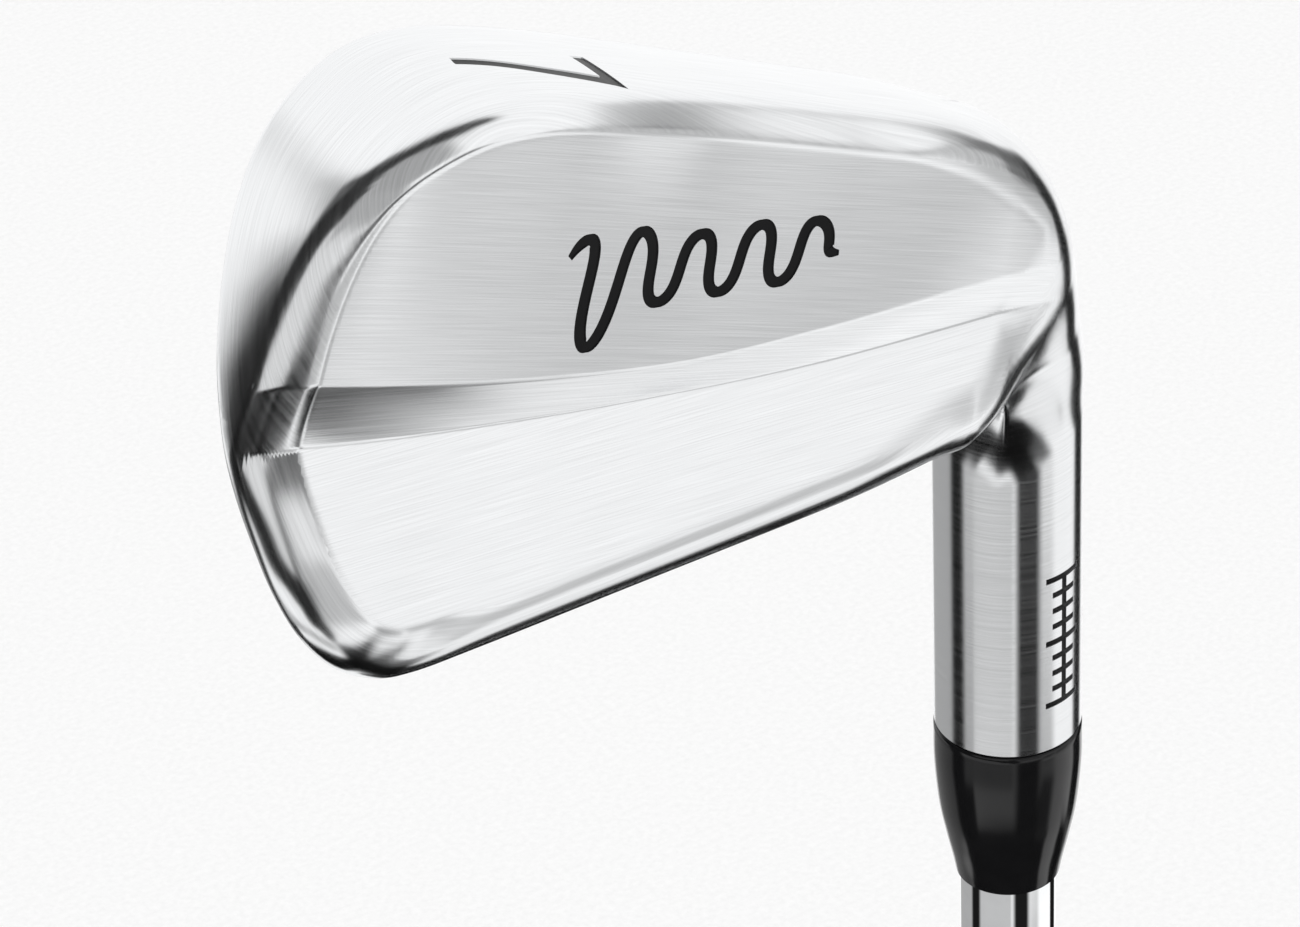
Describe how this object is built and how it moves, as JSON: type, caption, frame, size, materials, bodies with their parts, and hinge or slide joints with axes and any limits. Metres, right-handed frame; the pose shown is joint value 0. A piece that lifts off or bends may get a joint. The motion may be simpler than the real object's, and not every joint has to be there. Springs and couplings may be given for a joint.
{
  "type": "iron golf club",
  "caption": "Full-length right-handed muscle-back iron golf club: satin forged head with a mid-iron loft, black ferrule, stepped steel shaft and tapered rubber grip.",
  "frame": {"origin": "centre of the grip's butt end, on the shaft axis", "axes": "+Z along the shaft axis from the grip towards the head; the toe of the head points to -X and the back of the head to -Y, so the striking face looks towards +Y"},
  "size_m": [0.0991, 0.0395, 0.9663],
  "materials": {
    "satin_chrome": "satin brushed nickel-chrome plate",
    "bright_chrome": "mirror",
    "black_enamel": "gloss paint fill",
    "ferrule_plastic": "polished",
    "cured_epoxy": "clear amber resin",
    "weight_brass": "turned",
    "band_vinyl": "satin film",
    "grip_tape": "matte",
    "grip_rubber": "matte textured",
    "white_enamel": "satin paint fill",
    "cap_plastic": "satin"
  },
  "bodies": {
    "root": {"head_forging": "satin_chrome", "sole_number_fill": "black_enamel", "back_mark_fill": "black_enamel", "hosel_scale_fill": "black_enamel", "ferrule": "ferrule_plastic", "hosel_epoxy": "cured_epoxy", "tip_weight": "weight_brass", "shaft": "bright_chrome", "shaft_band": "band_vinyl", "grip_tape": "grip_tape", "grip_sleeve": "grip_rubber", "grip_ring_fill": "white_enamel", "grip_end_cap": "cap_plastic"}
  },
  "joints": []
}
